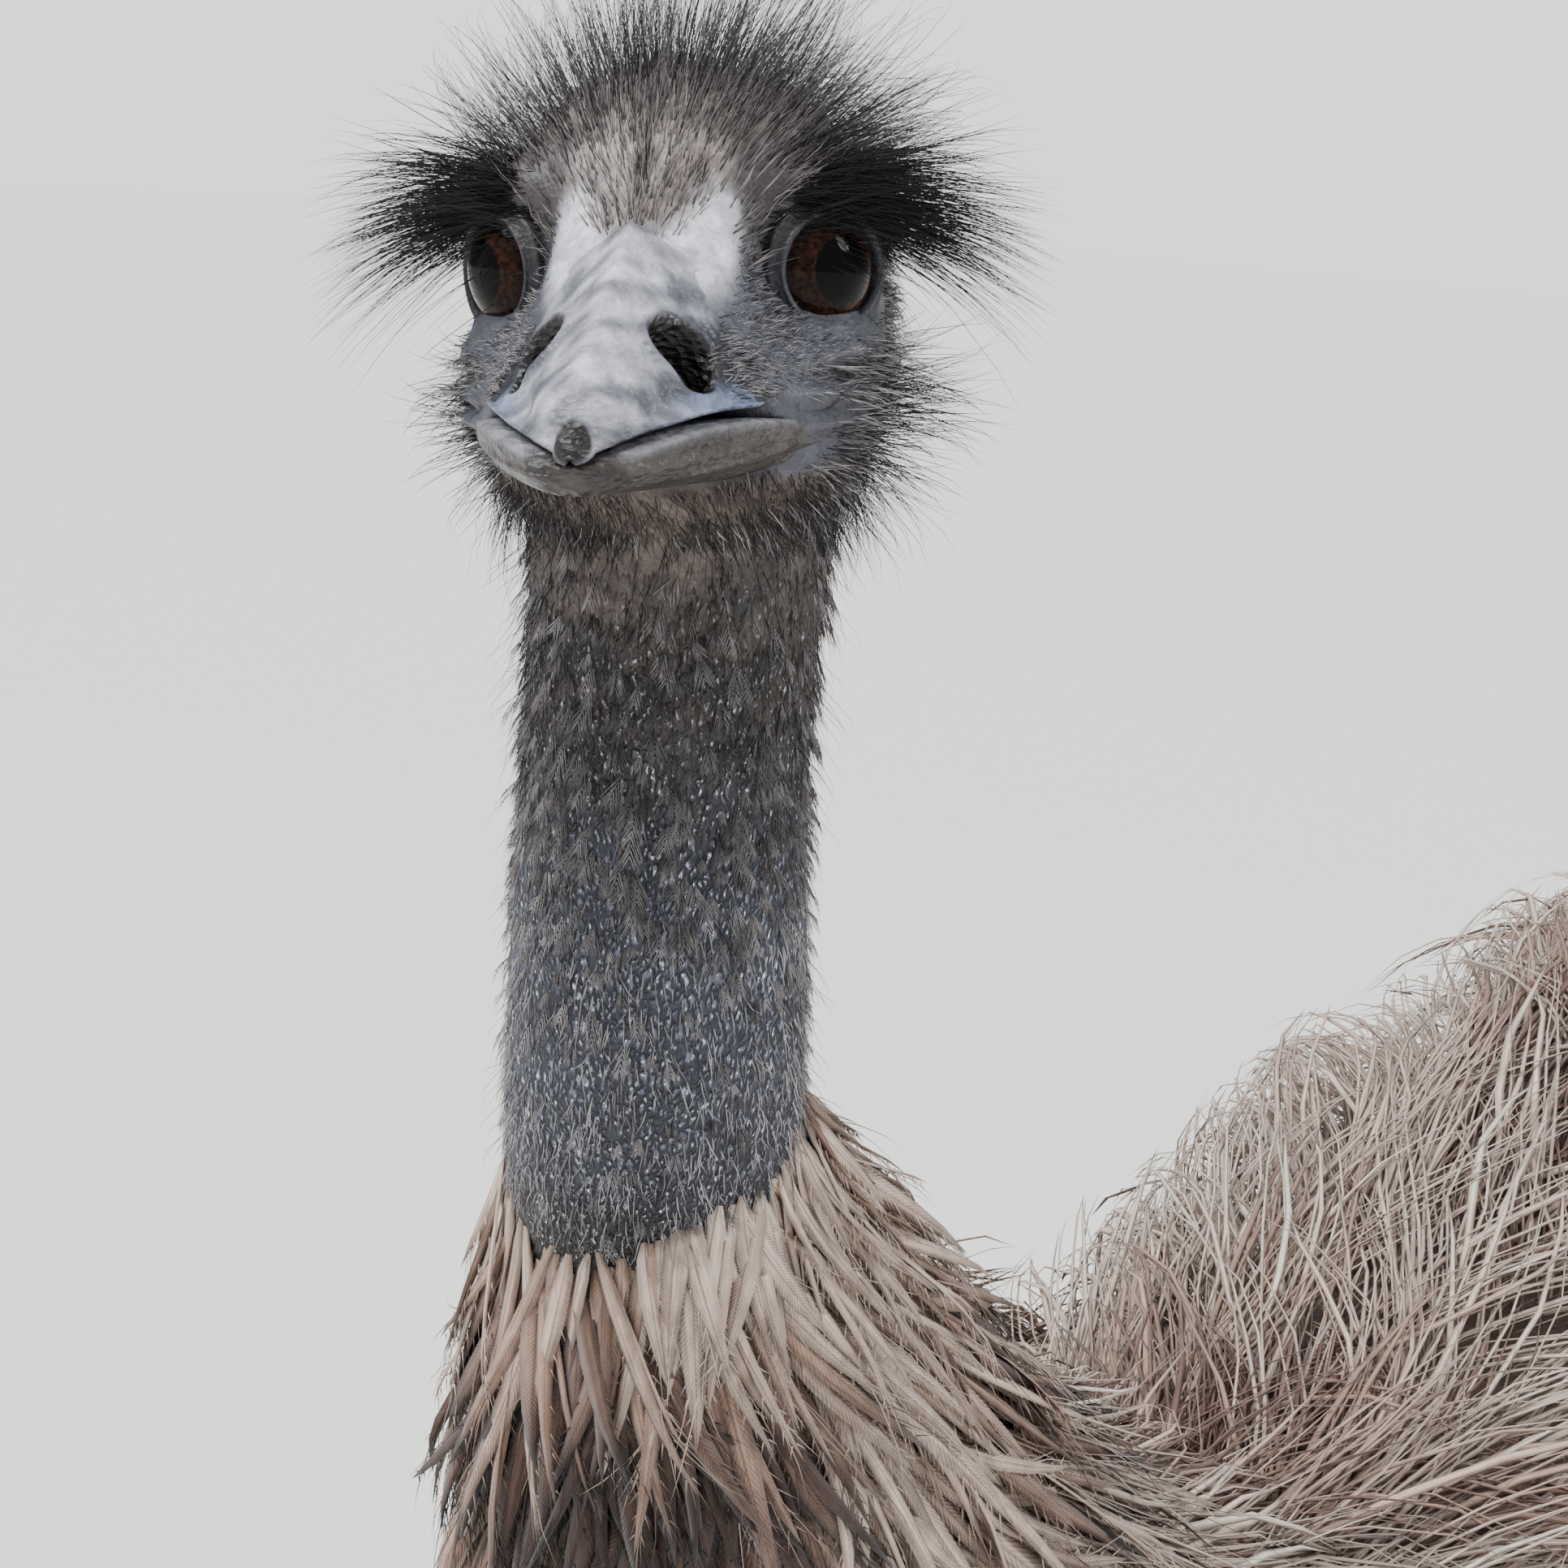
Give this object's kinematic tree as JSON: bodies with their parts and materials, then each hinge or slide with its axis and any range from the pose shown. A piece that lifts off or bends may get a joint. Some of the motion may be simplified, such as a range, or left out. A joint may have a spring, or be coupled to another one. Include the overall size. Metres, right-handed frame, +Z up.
{
  "type": "standing emu",
  "caption": "An adult emu standing still at life size, neck raised and head turned to its left, with a pale shaggy ruff and brown drooping plumage.",
  "frame": {"origin": "middle of the bounding box in plan, on the floor", "axes": "+Z up, the body points to -Y with the tail at +Y, and +X is the bird's own left side"},
  "size_m": [0.434, 1.1816, 1.3107],
  "materials": {
    "head_skin": "matte",
    "bill_horn": "satin",
    "eye_glass": "gloss",
    "neck_skin": "matte",
    "ruff_feathers": "matte",
    "body_feathers": "matte",
    "leg_scales": "matte",
    "claw_horn": "satin"
  },
  "bodies": {
    "root": {"head": "head_skin", "bill_upper": "bill_horn", "bill_lower": "bill_horn", "eye_left": "eye_glass", "eye_right": "eye_glass", "neck_upper": "neck_skin", "neck_ruff": "ruff_feathers", "torso": "body_feathers", "tail": "body_feathers", "wing_left": "body_feathers", "wing_right": "body_feathers", "thigh_left": "body_feathers", "shank_left": "leg_scales", "foot_left": "leg_scales", "toe_inner_left": "leg_scales", "claw_inner_left": "claw_horn", "toe_middle_left": "leg_scales", "claw_middle_left": "claw_horn", "toe_outer_left": "leg_scales", "claw_outer_left": "claw_horn", "thigh_right": "body_feathers", "shank_right": "leg_scales", "foot_right": "leg_scales", "toe_inner_right": "leg_scales", "claw_inner_right": "claw_horn", "toe_middle_right": "leg_scales", "claw_middle_right": "claw_horn", "toe_outer_right": "leg_scales", "claw_outer_right": "claw_horn"}
  },
  "joints": []
}
